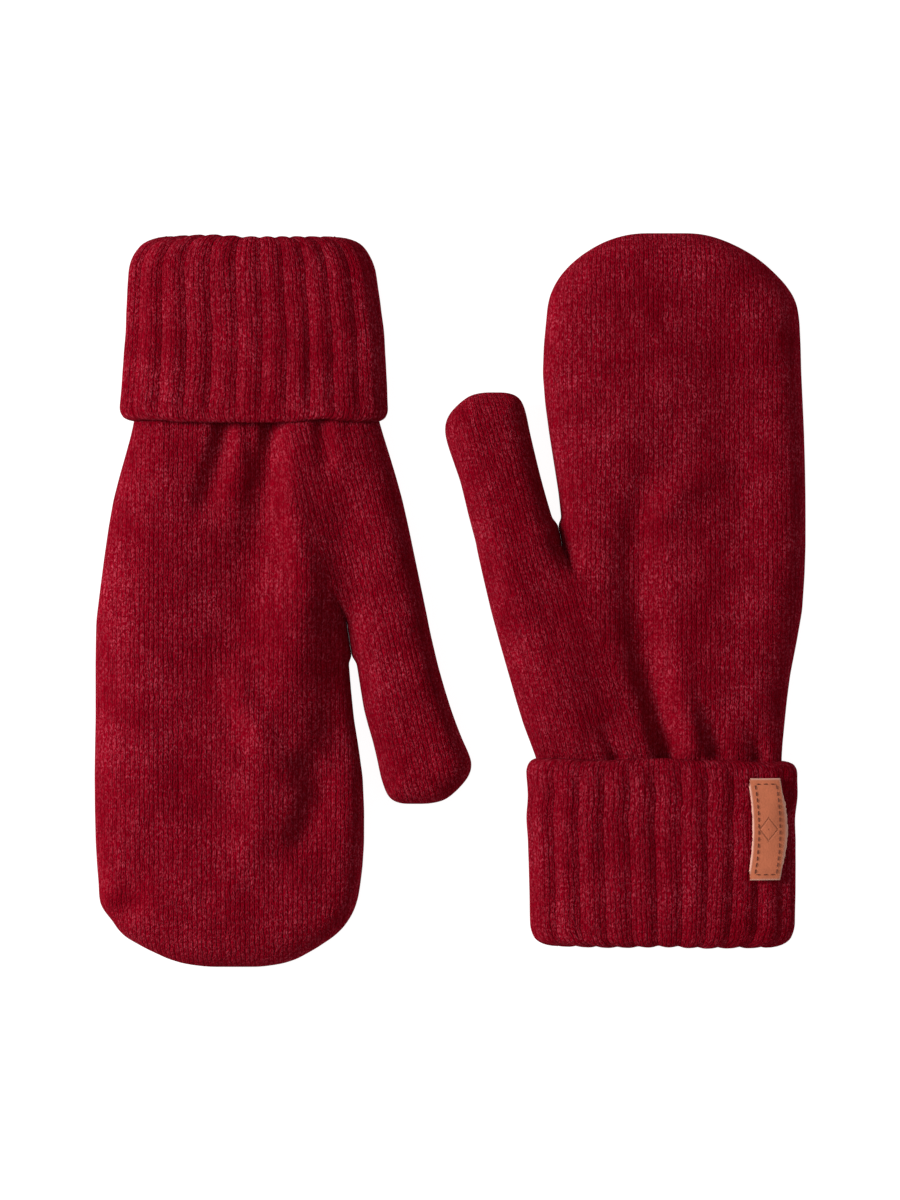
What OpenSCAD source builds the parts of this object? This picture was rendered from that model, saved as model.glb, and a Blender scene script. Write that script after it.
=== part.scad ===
// Pair of knitted mittens with turned-up rib cuffs, laid flat side by side.
// The right mitten lies back up with its fingers towards +Y and carries a leather label.
// The left mitten lies palm up with its fingers towards -Y.
// Each mitten is drawn fingers towards +Y and thumb towards -X; the left one is then turned by 180 degrees.

/* [Hand] */
// Width across the fingers, laid flat
hand_w = 98.5; // [90:0.5:110]
// Height of the laid hand, top to bottom
hand_t = 21; // [16:0.5:26]
// Right mitten, thumb crotch to finger tip
right_finger_l = 116; // [100:1:130]
// Left mitten, thumb crotch to finger tip
left_finger_l = 128; // [100:1:135]
// Right mitten, edge of the turn-up to thumb crotch
right_palm_l = 79; // [65:1:90]
// Left mitten, edge of the turn-up to thumb crotch
left_palm_l = 74; // [65:1:90]

/* [Thumb] */
// Width across the thumb's root
thumb_w = 32; // [26:0.5:38]
// Right thumb, crotch to tip
right_thumb_l = 56.8; // [45:0.2:70]
// Left thumb, crotch to tip
left_thumb_l = 67.4; // [45:0.2:75]
// Height of the laid thumb at its tip
thumb_t = 17; // [13:0.5:21]

/* [Cuff] */
// Right cuff, height of the turn-up
right_cuff_h = 69.2; // [50:0.2:80]
// Left cuff, height of the turn-up
left_cuff_h = 68.5; // [50:0.5:80]
// Right cuff, width at the fold
right_fold_w = 98.4; // [85:0.2:110]
// Left cuff, width at the fold
left_fold_w = 93; // [85:0.5:110]
// Width of both cuffs at the free edge
cuff_edge_w = 101; // [90:0.5:112]

/* [Fabric] */
// Wall of the plain knit
knit_wall = 3; // [2:0.1:3.5]
// Wall of one layer of rib
rib_wall = 3.2; // [2.5:0.1:3.5]
// Air between the two layers of the turn-up
turn_gap = 0.5; // [0.3:0.1:1]
// Diameter of the closing yarn
yarn_d = 1.8; // [1.2:0.1:2.2]

/* [Label] */
// Length of the leather label, along the cuff
label_l = 38.5; // [25:0.5:45]
// Thickness of the leather
label_t = 1.5; // [1:0.1:2]
// Diameter of the sewing thread
thread_d = 0.6; // [0.4:0.1:0.8]
// Length of one stitch
stitch_l = 1.7; // [1.2:0.1:2.5]

/* [Hidden] */

// Half the pair's length and half its width
reach_y = 136;
reach_x = 131.7;
// The crotch, the free edge of the turn-up and its fold, along Y
right_crotch = reach_y - right_finger_l;
left_crotch = reach_y - left_finger_l;
right_edge = right_crotch - right_palm_l;
left_edge = left_crotch - left_palm_l;
right_fold = right_edge - right_cuff_h;
left_fold = left_edge - left_cuff_h;
// The crotch and the middle of the cuff, along X
right_crotch_x = 42;
left_crotch_x = 38.5;
right_cuff_x = 78.4;
left_cuff_x = 72.5;
// How far the wrist of the hand reaches in under the turn-up
tuck = 9;
// Half the space between bodies that move on each other
body_gap = 0.2;
// Height of the side edge at the wrist, at the crotch and at the tips
wrist_edge_z = 10.5;
crotch_edge_z = 9;
tip_edge_z = 7;
// Exponent of the superellipse that every cross-section follows
bulge = 3;
ring_n = 28;

// Outlines, from the wrist or crotch to the tip: share of the length, outer inset and thumb-side
// inset in % of the hand's width, and fullness in % of the hand's height.
RIGHT_PALM = [
    [0, 8.8, -0.2, 64], [10, 9.3, -1.3, 66], [25, 8.2, -6.3, 88],
    [46, 6, -11.8, 97], [73, 1.5, -18.5, 100], [100, 0.2, -24, 100]
];
LEFT_PALM = [
    [0, 14.6, -5.8, 64], [10, 14.9, -6.8, 66], [25, 11.8, -10.6, 88],
    [46, 7, -15.7, 97], [72, 3.5, -20.4, 100], [100, 0.5, -25.3, 100]
];
RIGHT_FINGERS = [
    [0, 0.2, 8.9, 100], [17, 0.2, 6.9, 100], [36, 0.7, 3.4, 100], [55, 1.7, 1, 100],
    [72, 2.4, 2.3, 100], [80, 4.8, 3.7, 100], [87, 11.5, 8.2, 98], [93, 20, 15.7, 89],
    [97.4, 30, 24.7, 67], [99.5, 38, 33, 34], [100, 44, 39, 6]
];
LEFT_FINGERS = [
    [0, 0.5, 5.8, 100], [12, 0.2, 4.5, 100], [28, 0.2, 2.6, 100], [45, -0.2, -0.7, 100],
    [64, 0.2, -1.2, 100], [76, 1.3, 0.2, 100], [82, 2, 1.8, 100], [86.7, 6.6, 4.8, 99],
    [91.4, 11.5, 10.5, 94], [97.7, 27.5, 24, 66], [99.5, 37, 33, 34], [100, 44, 39, 6]
];
// Thumbs: share of the length, far and near edge in % of the thumb's width from the crotch, fullness in %
RIGHT_THUMB = [
    [0, 101, 3.5, 100], [21, 111, 15, 100], [42, 120, 25.6, 100], [63, 133, 34.7, 100],
    [76, 138, 40, 99], [86, 132.5, 43.5, 92], [94.7, 117, 49, 68], [98.5, 106, 57, 38], [100, 92, 68, 8]
];
LEFT_THUMB = [
    [0, 94.4, 1.6, 100], [24, 106, 12, 100], [48, 121, 20, 100], [65, 134.5, 30, 100],
    [77, 145, 36, 99], [86, 140, 40, 92], [95.5, 121, 47.5, 66], [98.8, 108, 56, 36], [100, 92, 66, 8]
];

function signed_pow(v, e) = sign(v) * pow(abs(v), e);

// A Catmull-Rom curve through the rows of a table, at t rows from its start
function row_at(table, t) =
    let (last = len(table) - 1, i = min(floor(t), last - 1), u = t - i,
         a = table[max(i - 1, 0)], b = table[i], c = table[i + 1], d = table[min(i + 2, last)])
    0.5 * (2 * b + u * (c - a) + u * u * (2 * a - 5 * b + 4 * c - d) + u * u * u * (3 * b - a - 3 * c + d));

// One cross-section at y, between x0 and x1, as a superellipse that stands rise above and fall below z
function section(x0, x1, y, z, rise, fall) = [
    for (i = [0 : ring_n - 1])
        let (a = 360 * i / ring_n, c = signed_pow(cos(a), 2 / bulge), s = signed_pow(sin(a), 2 / bulge))
        [(x0 + x1) / 2 + c * (x1 - x0) / 2, y, z + (s > 0 ? s * rise : max(-1, s * 1.05) * fall)]
];

// A cross-section of the laid fabric: full is 0 to 1 and inset moves it in by a wall
function fabric_section(x0, x1, y, edge_z, height, full, inset) =
    section(x0 + inset, x1 - inset, y, edge_z, (height - edge_z) * full - inset, edge_z * full - inset);

// Rings of a palm, from the wrist to the crotch
function palm_rings(table, y0, y1, inset) = [
    for (t = [0 : 0.5 : len(table) - 1])
        let (r = row_at(table, t), share = r[0] / 100)
        fabric_section(
            reach_x - hand_w * (1 + -r[2] / 100), reach_x - hand_w * r[1] / 100,
            y0 + (y1 - y0) * share, wrist_edge_z + (crotch_edge_z - wrist_edge_z) * share,
            hand_t, r[3] / 100, inset)
];

// Rings of a finger pouch, from the crotch towards the tip, leaving out the last skip rows
function finger_rings(table, y0, length, inset, skip) = [
    for (t = [0 : 0.5 : len(table) - 1 - skip])
        let (r = row_at(table, t), share = r[0] / 100)
        fabric_section(
            reach_x - hand_w * (1 - r[2] / 100), reach_x - hand_w * r[1] / 100,
            y0 + length * share, crotch_edge_z + (tip_edge_z - crotch_edge_z) * share,
            hand_t, r[3] / 100, inset)
];

// Rings of a thumb, from the crotch towards the tip, leaving out the last skip rows
function thumb_rings(table, x0, y0, length, inset, skip) = [
    for (t = [0 : 0.5 : len(table) - 1 - skip])
        let (r = row_at(table, t), share = r[0] / 100)
        fabric_section(
            x0 - thumb_w * r[1] / 100, x0 - thumb_w * r[2] / 100,
            y0 + length * share, crotch_edge_z + (tip_edge_z - crotch_edge_z) * share,
            hand_t + (thumb_t - hand_t) * share, r[3] / 100, inset)
];

// Faces between ring i and the next one, for rings that start at point number start
function band(i, start) = [
    for (j = [0 : ring_n - 1])
        let (a = start + i * ring_n + j, b = start + i * ring_n + (j + 1) % ring_n)
        [a, b, b + ring_n, a + ring_n]
];
function flip(faces) = [for (f = faces) [f[3], f[2], f[1], f[0]]];
function flat(lists) = [for (l = lists) each l];
function bands(count, start) = flat([for (i = [0 : count - 2]) band(i, start)]);

// Faces that join an outer and an inner ring in one plane
function rim(outer, inner) = [
    for (j = [0 : ring_n - 1])
        let (k = (j + 1) % ring_n)
        [outer + k, outer + j, inner + j, inner + k]
];

// A hollow tube, open at both ends
module tube(outer, inner) {
    m = len(outer) * ring_n;
    polyhedron(
        points = concat(flat(outer), flat(inner)),
        faces = concat(
            bands(len(outer), 0), flip(bands(len(inner), m)),
            rim(0, m), flip(rim(m - ring_n, m + (len(inner) - 1) * ring_n))));
}

// A hollow pouch, open at its first ring
module pouch(outer, inner) {
    m = len(outer) * ring_n;
    last = m + len(inner) * ring_n;
    polyhedron(
        points = concat(flat(outer), flat(inner)),
        faces = concat(
            bands(len(outer), 0), flip(bands(len(inner), m)), rim(0, m),
            [[for (j = [1 : ring_n]) m - ring_n + j - 1], [for (j = [1 : ring_n]) last - j]]));
}

// A rib tube turned back over itself: the wall's profile is a closed loop of
// [y, outward offset from the wrist opening, share of the way from fold to free edge]
module turned_cuff(x, fold, edge, fold_w, edge_w) {
    out = 2 * rib_wall + turn_gap;
    join = edge - tuck;
    length = edge - fold;
    profile = [
        [join, 0], [fold + out, 0], [fold + out * 0.35, 0.6], [fold + out * 0.06, out * 0.28],
        [fold, out / 2], [fold + out * 0.06, out * 0.75], [fold + out * 0.35, out - 0.5], [fold + out, out],
        [(fold + edge) / 2, out], [edge - rib_wall, out], [edge - 0.8, out - 0.5], [edge, out - rib_wall / 2],
        [edge - 0.8, rib_wall + turn_gap + 0.4], [edge - rib_wall, rib_wall + turn_gap],
        [fold + rib_wall + 1, rib_wall + turn_gap], [fold + rib_wall + 1, rib_wall], [join, rib_wall]
    ];
    rings = [
        for (p = profile)
            let (half = (fold_w + (edge_w - fold_w) * (p[0] - fold) / length) / 2 - out + p[1],
                 high = hand_t / 2 - out + p[1])
            section(x - half, x + half, p[0], hand_t / 2, high, high)
    ];
    n = len(profile);
    points = flat(rings);
    faces = [
        for (i = [0 : n - 1], j = [0 : ring_n - 1])
            let (i2 = (i + 1) % n, j2 = (j + 1) % ring_n)
            [i * ring_n + j2, i * ring_n + j, i2 * ring_n + j, i2 * ring_n + j2]
    ];
    polyhedron(points = points, faces = flip(faces));
}

// Yarn of radius r along a path that lies nearly level
module yarn(path, r) {
    sides = 8;
    n = len(path);
    points = [
        for (i = [0 : n - 1], j = [0 : sides - 1])
            let (way = path[min(i + 1, n - 1)] - path[max(i - 1, 0)],
                 side = [-way[1], way[0], 0] / norm([way[0], way[1]]), a = 360 * j / sides)
            path[i] + r * (cos(a) * side + sin(a) * [0, 0, 1])
    ];
    faces = [
        for (i = [0 : n - 2], j = [0 : sides - 1])
            let (k = (j + 1) % sides)
            [i * sides + j, i * sides + k, (i + 1) * sides + k, (i + 1) * sides + j]
    ];
    ends = [[for (j = [1 : sides]) sides - j], [for (j = [0 : sides - 1]) (n - 1) * sides + j]];
    polyhedron(points = points, faces = concat(faces, ends));
}

// Path of the yarn that closes a tip, just inside the wall: up one edge and down the other
function closing_path(rings, clear) =
    let (near = [for (r = rings) r[ring_n / 2]], far = [for (r = rings) r[0]], n = len(rings))
    concat(
        [for (i = [0 : n - 1]) near[i] + [clear, -clear, 0]],
        [for (i = [n - 1 : -1 : 0]) far[i] + [-clear, -clear, 0]]);
function last_of(list, count) = [for (i = [len(list) - count : len(list) - 1]) list[i]];

module left_side() {
    rotate([0, 0, 180]) children();
}

knit_red = [0.45, 0.03, 0.09];
rib_red = [0.48, 0.05, 0.12];
yarn_red = [0.36, 0.02, 0.07];

// Hand, from the wrist to the thumb crotch
module right_palm() {
    color(knit_red)
        tube(palm_rings(RIGHT_PALM, right_edge - tuck, right_crotch - body_gap, 0),
             palm_rings(RIGHT_PALM, right_edge - tuck, right_crotch - body_gap, knit_wall));
}
module left_palm() {
    color(knit_red) left_side()
        tube(palm_rings(LEFT_PALM, left_edge - tuck, left_crotch - body_gap, 0),
             palm_rings(LEFT_PALM, left_edge - tuck, left_crotch - body_gap, knit_wall));
}

// Finger pouch, from the thumb crotch to the tip
module right_fingers() {
    y0 = right_crotch + body_gap;
    color(knit_red)
        pouch(finger_rings(RIGHT_FINGERS, y0, reach_y - y0, 0, 0),
              finger_rings(RIGHT_FINGERS, y0, reach_y - y0, knit_wall, 2));
}
module left_fingers() {
    y0 = left_crotch + body_gap;
    color(knit_red) left_side()
        pouch(finger_rings(LEFT_FINGERS, y0, reach_y - y0, 0, 0),
              finger_rings(LEFT_FINGERS, y0, reach_y - y0, knit_wall, 2));
}

// Thumb tube, from the crotch to its tip
module right_thumb() {
    y0 = right_crotch + body_gap;
    color(knit_red)
        pouch(thumb_rings(RIGHT_THUMB, right_crotch_x, y0, right_thumb_l, 0, 0),
              thumb_rings(RIGHT_THUMB, right_crotch_x, y0, right_thumb_l, knit_wall, 2));
}
module left_thumb() {
    y0 = left_crotch + body_gap;
    color(knit_red) left_side()
        pouch(thumb_rings(LEFT_THUMB, left_crotch_x, y0, left_thumb_l, 0, 0),
              thumb_rings(LEFT_THUMB, left_crotch_x, y0, left_thumb_l, knit_wall, 2));
}

// Rib cuff, one tube turned back over itself
module right_cuff() {
    color(rib_red) turned_cuff(right_cuff_x, right_fold, right_edge, right_fold_w, cuff_edge_w);
}
module left_cuff() {
    color(rib_red) left_side()
        turned_cuff(left_cuff_x, left_fold, left_edge, left_fold_w, cuff_edge_w);
}

// Yarn that closes each tip, inside the wall; it follows the last rings of the pouch it closes
yarn_clear = yarn_d * 0.8;
finger_turns = 7;
thumb_turns = 4;
module closing_yarn(rings, turns) {
    color(yarn_red) yarn(closing_path(last_of(rings, turns), yarn_clear), yarn_d / 2);
}
module right_finger_closing_yarn() {
    y0 = right_crotch + body_gap;
    closing_yarn(finger_rings(RIGHT_FINGERS, y0, reach_y - y0, knit_wall, 2), finger_turns);
}
module left_finger_closing_yarn() {
    y0 = left_crotch + body_gap;
    left_side() closing_yarn(finger_rings(LEFT_FINGERS, y0, reach_y - y0, knit_wall, 2), finger_turns);
}
module right_thumb_closing_yarn() {
    y0 = right_crotch + body_gap;
    closing_yarn(thumb_rings(RIGHT_THUMB, right_crotch_x, y0, right_thumb_l, knit_wall, 2), thumb_turns);
}
module left_thumb_closing_yarn() {
    y0 = left_crotch + body_gap;
    left_side()
        closing_yarn(thumb_rings(LEFT_THUMB, left_crotch_x, y0, left_thumb_l, knit_wall, 2), thumb_turns);
}

// Label, wrapped on the outer shoulder of the right cuff between two section angles
label_from = 60;
label_to = 28;
label_lift = 0.4;
label_steps = 12;
// Space from the edge of the turn-up to the label
label_drop = 6.5;
label_y = right_edge - label_drop - label_l;
// Half the cuff's width and height under the label
label_half = right_fold_w / 2 + 0.9;
label_high = hand_t / 2;
// The outward way at a section angle, and a point that stands off the cuff there
function label_way(a) =
    let (v = [pow(cos(a), 2 - 2 / bulge) / label_half, pow(sin(a), 2 - 2 / bulge) / label_high])
    v / norm(v);
function label_point(a, off) =
    [right_cuff_x + label_half * pow(cos(a), 2 / bulge), label_high + label_high * pow(sin(a), 2 / bulge)]
    + off * label_way(a);

module right_label() {
    angles = [for (i = [0 : label_steps]) label_from + (label_to - label_from) * i / label_steps];
    back = [for (a = angles) label_point(a, label_lift)];
    face = [for (i = [label_steps : -1 : 0]) label_point(angles[i], label_lift + label_t)];
    color([0.64, 0.36, 0.24])
        translate([0, label_y + label_l, 0]) rotate([90, 0, 0])
            linear_extrude(height = label_l) polygon(concat(back, face));
}

// Thread stitches round the label's edge, lying on the leather
stitch_step = stitch_l * 1.5;
stitch_inset_deg = 4.5;
stitch_inset = 2.2;
stitches_across = 4;
// One stitch at a section angle; lean is 0 along the cuff and 90 across it
module stitch(a, y, lean) {
    p = label_point(a, label_lift + label_t + thread_d / 2);
    w = label_way(a);
    translate([p[0], y, p[1]]) rotate([0, atan2(w[0], w[1]), 0]) rotate([90, 0, lean])
        cylinder(h = stitch_l, d = thread_d, center = true, $fn = 16);
}
module right_label_stitching() {
    from = label_from - stitch_inset_deg;
    to = label_to + stitch_inset_deg;
    rows = floor((label_l - 2 * stitch_inset) / stitch_step);
    color([0.33, 0.15, 0.08]) {
        for (a = [from, to], i = [0 : rows - 1])
            stitch(a, label_y + stitch_inset + stitch_step * (i + 0.5), 0);
        for (end = [stitch_inset, label_l - stitch_inset], i = [1 : stitches_across])
            stitch(from + (to - from) * i / (stitches_across + 1), label_y + end, 90);
    }
}

right_palm();
right_fingers();
right_thumb();
right_cuff();
right_finger_closing_yarn();
right_thumb_closing_yarn();
right_label();
right_label_stitching();
left_palm();
left_fingers();
left_thumb();
left_cuff();
left_finger_closing_yarn();
left_thumb_closing_yarn();
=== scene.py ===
import math

import bmesh
import bpy
import numpy as np
from bpy.props import FloatProperty, FloatVectorProperty, IntProperty, PointerProperty
from mathutils import Matrix, Vector


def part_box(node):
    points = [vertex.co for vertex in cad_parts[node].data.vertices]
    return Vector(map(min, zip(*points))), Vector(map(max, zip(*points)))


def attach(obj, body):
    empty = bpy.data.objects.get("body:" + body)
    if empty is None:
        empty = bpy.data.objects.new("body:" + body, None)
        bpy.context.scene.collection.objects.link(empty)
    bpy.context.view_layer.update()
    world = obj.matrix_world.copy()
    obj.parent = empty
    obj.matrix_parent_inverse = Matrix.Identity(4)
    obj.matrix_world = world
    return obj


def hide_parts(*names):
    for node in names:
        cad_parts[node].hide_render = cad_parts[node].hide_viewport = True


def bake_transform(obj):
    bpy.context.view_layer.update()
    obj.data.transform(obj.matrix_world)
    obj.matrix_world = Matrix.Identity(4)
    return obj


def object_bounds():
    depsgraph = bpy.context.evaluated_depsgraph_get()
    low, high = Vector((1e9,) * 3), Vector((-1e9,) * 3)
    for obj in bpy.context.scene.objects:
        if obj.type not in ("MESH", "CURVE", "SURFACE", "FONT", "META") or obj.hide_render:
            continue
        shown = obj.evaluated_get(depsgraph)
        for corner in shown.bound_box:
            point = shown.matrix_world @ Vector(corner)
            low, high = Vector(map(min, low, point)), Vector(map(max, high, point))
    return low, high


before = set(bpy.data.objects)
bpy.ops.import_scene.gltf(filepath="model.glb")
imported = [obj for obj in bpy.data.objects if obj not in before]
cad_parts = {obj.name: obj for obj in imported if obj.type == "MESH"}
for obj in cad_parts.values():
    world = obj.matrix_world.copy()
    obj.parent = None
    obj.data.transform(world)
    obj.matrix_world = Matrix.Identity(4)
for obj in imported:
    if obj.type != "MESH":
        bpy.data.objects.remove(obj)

bl_info = {
    "name": "Knitted mittens",
    "version": (1, 0, 0),
    "blender": (4, 5, 0),
    "location": "3D View > Sidebar > Mittens",
    "description": "Dresses the packed pair of mittens in plain knit, rib, leather and thread",
    "category": "Object",
}

MM = 0.001
CAD_LOW, CAD_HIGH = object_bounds()
# The left mitten is the right one's layout turned by half a turn, so each is shaped fingers up
TURN = {"right": 1, "left": -1}

# How far the pieces' lowest faces are above zero and the floor is below it, in mm
CLEAR, FLOOR = 0.05, 0.4
# Half the width of the floor in m, its own glow and the strength of the light all round
FLOOR_REACH, FLOOR_GLOW, SKY = 4, 0.95, 0.24

# Rounding of each cuff's corners at the fold and at the free edge, laid flat, in mm
CORNER, EDGE_CORNER = {"right": 9, "left": 14}, 5.5
# How far each fold is drawn in at the thumb's end and at the other end, and how far up that reaches, in mm
SHOULDER, SHOULDER_REACH = {"right": (0.8, 0.3), "left": (4.4, 1.4)}, 26
# Points round a cuff
AROUND = 420
# Width of the groove between two ribs, over the rib pitch, and how bright the ribs are beside the plain knit
GROOVE_WIDTH, RIB_TONE = 0.17, 0.98
# Steps along a cuff's path inside its mouth, on its show side and where it's hidden, in mm
MOUTH_STEP, SHOW_STEP, HIDDEN_STEP = 1.8, 0.8, 6
# Share of the ribs' depth inside the mouth, round the fold and at the free edge
MOUTH_HOLD, FOLD_HOLD, EDGE_HOLD = 0.5, 0.66, 0.55
# Rounding of the label's rim, in mm, and the mesh's steps across and along the label
RIM, LABEL_MESH = 0.3, (40, 96)
# Half height of the label's diamond, its height over its width, and how far the thread stands off, in mm
DIAMOND, DIAMOND_SHAPE, THREAD_LIFT = 4.2, 1.25, 0.12
# How far above the crotch the fingers and the thumb still touch, in mm
TOUCH = {"right": 9, "left": 14}
# CAD rows nearer a tip than this belong to its rounding and aren't read for heights, in mm
ROUNDED = {"fingers": 26, "thumb": 13}
# Slope of the line where the thumb's slanting stitches meet the hand's upright ones
GUSSET_SLOPE = 0.42
# How far the sinking beside the crotch reaches to each side and down the palm, in mm
SINK_REACH, SINK_FALL = 26, 15
# Gathers above the cuff: depth, how far up they reach, and their size across and along, in mm
GATHER_DEPTH, GATHER_REACH, GATHER_SIZE = 2.8, 7.5, (4.6, 40)
# Slow swells of the slack cloth: depth, and the sizes of the broad and the small ones, in mm
SWELL_DEPTH, BROAD, SMALL = 0.8, (21, 27), (9, 12)
# Rows crowd together where a pouch's tip rounds off: where that starts and their places below the tip, in mm
TIP_START = 6.2
TIP_ROWS = np.array([5.4, 4.6, 3.9, 3.25, 2.65, 2.1, 1.6, 1.15, 0.8, 0.5, 0.28, 0.12, 0.03, 0.0])
# Length of the skin over its flat width: on a pouch, and on the palm's thumb side and finger side
POUCH_SLACK, THUMB_SIDE_SLACK, FINGER_SIDE_SLACK = 1.12, 1.3, 1.15
# Height of the rounded side that the stitch map unrolls, in mm
SIDE_RISE = 11.5
# Stitches that the under face's map is moved along, so that it isn't the upper face's twin
UNDER_SHIFT = 311.0
# Seeds of the random unevenness
FOLD_SEED, UNDER_SEED = {"right": 11, "left": 23}, 5
CUFF_SEED = {"right": 41, "left": 57}
RUFF_SEED, LABEL_SEED = 17, 91

# Folds in the knit, drawn on each hand with its fingers up: points of (x, y, depth, half width) in mm.
# A negative depth is a ridge.
FOLDS = {
    "right": [
        [(71, 42, 1.6, 6), (68, 17, 4.0, 8), (69, 3, 4.4, 8), (72, -22, 5.8, 7), (76.5, -42, 7.4, 5.5),
         (81, -60, 6.6, 4.5)],
        [(60, 10, 0.6, 14), (58, -22, 1.2, 13), (64, -42, 1.6, 8)],
        [(82, -16, -0.6, 7), (86, -38, -2.2, 5), (90, -54, -1.8, 4)],
        [(96, 48, -0.8, 6), (85, 40, -1.8, 6), (76, 30, -1.6, 5)],
        [(42, 27, 0.8, 5), (46, 14, 1.6, 6), (52, 2, 0.0, 8)],
        [(95, -36, 0.0, 4), (97.5, -57, 3.0, 3)],
        [(56, -42, 0.0, 4), (61, -58, 2.6, 3)],
        [(111, -42, 0.0, 5), (114, -58, 2.6, 3)],
        [(100, 112, 0.4, 12), (106, 80, 2.4, 13), (107, 40, 2.6, 13), (104, -5, 2.0, 11), (103, -35, 0.8, 9)],
        [(64, 108, -0.8, 16), (66, 75, -1.6, 16), (60, 52, -1.2, 13)],
        [(22, 5, -1.4, 12), (36, -25, -1.6, 12), (46, -48, -1.0, 9)],
    ],
    "left": [
        [(66.5, -72, 6.2, 4.5), (66.5, -58, 6.0, 5), (68.5, -42, 5.2, 7), (71, -22, 3.8, 9), (75, 4, 2.6, 12),
         (80, 34, 0.0, 14)],
        [(54, -70, -1.2, 8), (56, -40, -2.6, 9), (55, -10, -2.8, 10), (58, 14, -2.4, 10), (64, 44, -1.6, 9),
         (72, 74, -1.4, 9)],
        [(49, -72, 2.4, 3), (45, -52, 2.0, 4), (43, -42, 0.0, 5)],
        [(46, -68, -1.2, 4), (42, -50, -1.2, 4)],
        [(81, -72, 3.6, 4), (84.5, -56, 3.8, 4.5), (89.5, -38, 3.6, 5.5), (92, -26, 0.0, 7)],
        [(75, -72, 2.6, 3), (74, -52, 0.8, 3)],
        [(103, -72, 2.0, 4), (105, -56, 0.0, 5)],
        [(37, -30, 1.6, 8), (38, 0, 2.4, 9), (41, 30, 3.6, 9), (43, 60, 4.0, 9), (46, 90, 3.0, 9),
         (48, 112, 1.0, 8)],
        [(56, 54, 0.0, 6), (52, 62, 3.2, 6), (50, 72, 3.2, 6), (55, 88, 2.8, 5.5), (60, 98, 0.0, 6)],
        [(61, -62, -1.0, 6), (60, -40, -2.2, 6), (56, -18, -2.2, 6), (50, 0, -1.2, 7), (44, 10, 0.0, 8)],
        [(80, 20, 0.0, 7), (77, 36, -2.6, 5.5), (70, 50, -2.6, 5.5), (66, 64, 0.0, 7)],
        [(70, 72, 0.0, 7), (72, 88, -2.2, 6), (74, 106, 0.0, 8)],
        [(104, 70, 0.0, 16), (112, 100, 1.2, 9), (119, 112, 2.4, 7), (126, 118, 0.0, 5)],
        [(108, -20, -0.8, 12), (112, 20, -1.4, 14), (112, 60, -1.2, 14)],
    ],
}


# ---------------------------------------------------------------- settings


class KnitSettings(bpy.types.PropertyGroup):
    """The plain knit of the hands."""

    wale: FloatProperty(name="Wale", description="Width of one stitch", default=1.76 * MM, unit="LENGTH")
    course: FloatProperty(name="Course", description="Height of one stitch", default=1.85 * MM, unit="LENGTH")
    cell: FloatProperty(name="Mesh step", description="Spacing of the mesh", default=0.9 * MM, unit="LENGTH")
    wall: FloatProperty(name="Wall", description="Thickness of the knit", default=2.4 * MM, unit="LENGTH")
    edge_round: FloatProperty(
        name="Edge round", description="How far the flat top rounds off at the sides", default=21 * MM,
        unit="LENGTH")
    thumb_round: FloatProperty(
        name="Thumb round", description="The same on the thumb", default=13.5 * MM, unit="LENGTH")
    relief: FloatProperty(
        name="Stitch relief", description="Height of a stitch", default=0.42 * MM, unit="LENGTH")
    # The shade colour is painted shade: the knit darkens towards it in the gaps between stitches, and the
    # closing yarn in its twist's grooves; it is also mixed in at random as a darker mottling.
    shade: FloatVectorProperty(
        name="Between stitches", description="Colour in the gaps", subtype="COLOR", default=(0.085, 0.0, 0.0022))
    body: FloatVectorProperty(
        name="Yarn", description="Colour of the yarn", subtype="COLOR", default=(0.222, 0.0001, 0.0078))
    # The fibre colour is partly the yarn's own paler loose fibres and partly a painted sheen.
    fleck: FloatVectorProperty(
        name="Fibres", description="Colour of the loose fibres", subtype="COLOR", default=(0.49, 0.056, 0.088))


class RibSettings(bpy.types.PropertyGroup):
    """The turned-up rib cuffs."""

    pitch: FloatProperty(
        name="Rib pitch", description="One ridge and one groove", default=9.4 * MM, unit="LENGTH")
    depth: FloatProperty(name="Rib depth", description="Depth of the grooves", default=0.9 * MM, unit="LENGTH")
    wales: IntProperty(name="Stitches a rib", description="Stitches across a ridge and a groove", default=5)
    wall: FloatProperty(name="Rib wall", description="Thickness of one layer", default=3.2 * MM, unit="LENGTH")
    gap: FloatProperty(name="Gap", description="Air between the two layers", default=0.5 * MM, unit="LENGTH")


class LabelSettings(bpy.types.PropertyGroup):
    """The leather label and its stitching."""

    bow: FloatProperty(
        name="Bow", description="How far the middle leans outwards", default=1.9 * MM, unit="LENGTH")
    inset: FloatProperty(
        name="Stitch inset", description="From the edge to the stitches", default=2.1 * MM, unit="LENGTH")
    stitch: FloatProperty(name="Stitch", description="Length of a stitch", default=1.7 * MM, unit="LENGTH")
    space: FloatProperty(
        name="Stitch space", description="From stitch to stitch", default=2.45 * MM, unit="LENGTH")
    thread: FloatProperty(name="Thread", description="Thickness of the thread", default=0.42 * MM, unit="LENGTH")
    leather: FloatVectorProperty(
        name="Leather", description="Colour of the grain side", subtype="COLOR", default=(0.7, 0.195, 0.092))
    raw_edge: FloatVectorProperty(
        name="Raw edge", description="Colour of the cut edge", subtype="COLOR", default=(0.72, 0.36, 0.27))
    thread_colour: FloatVectorProperty(
        name="Thread", description="Colour of the thread", subtype="COLOR", default=(0.13, 0.028, 0.012))


class StageSettings(bpy.types.PropertyGroup):
    """Floor, light and camera."""

    floor: FloatVectorProperty(
        name="Floor", description="Colour of the floor", subtype="COLOR", default=(0.25, 0.25, 0.25))
    key: FloatProperty(name="Key", description="Power of the light from the left", default=45.0, unit="POWER")
    fill: FloatProperty(name="Fill", description="Power of the light from above", default=4.0, unit="POWER")
    height: FloatProperty(name="Camera height", description="Above the floor", default=1.6, unit="LENGTH")
    seen: FloatProperty(name="Seen length", description="Length of floor in view", default=0.444, unit="LENGTH")


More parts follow.
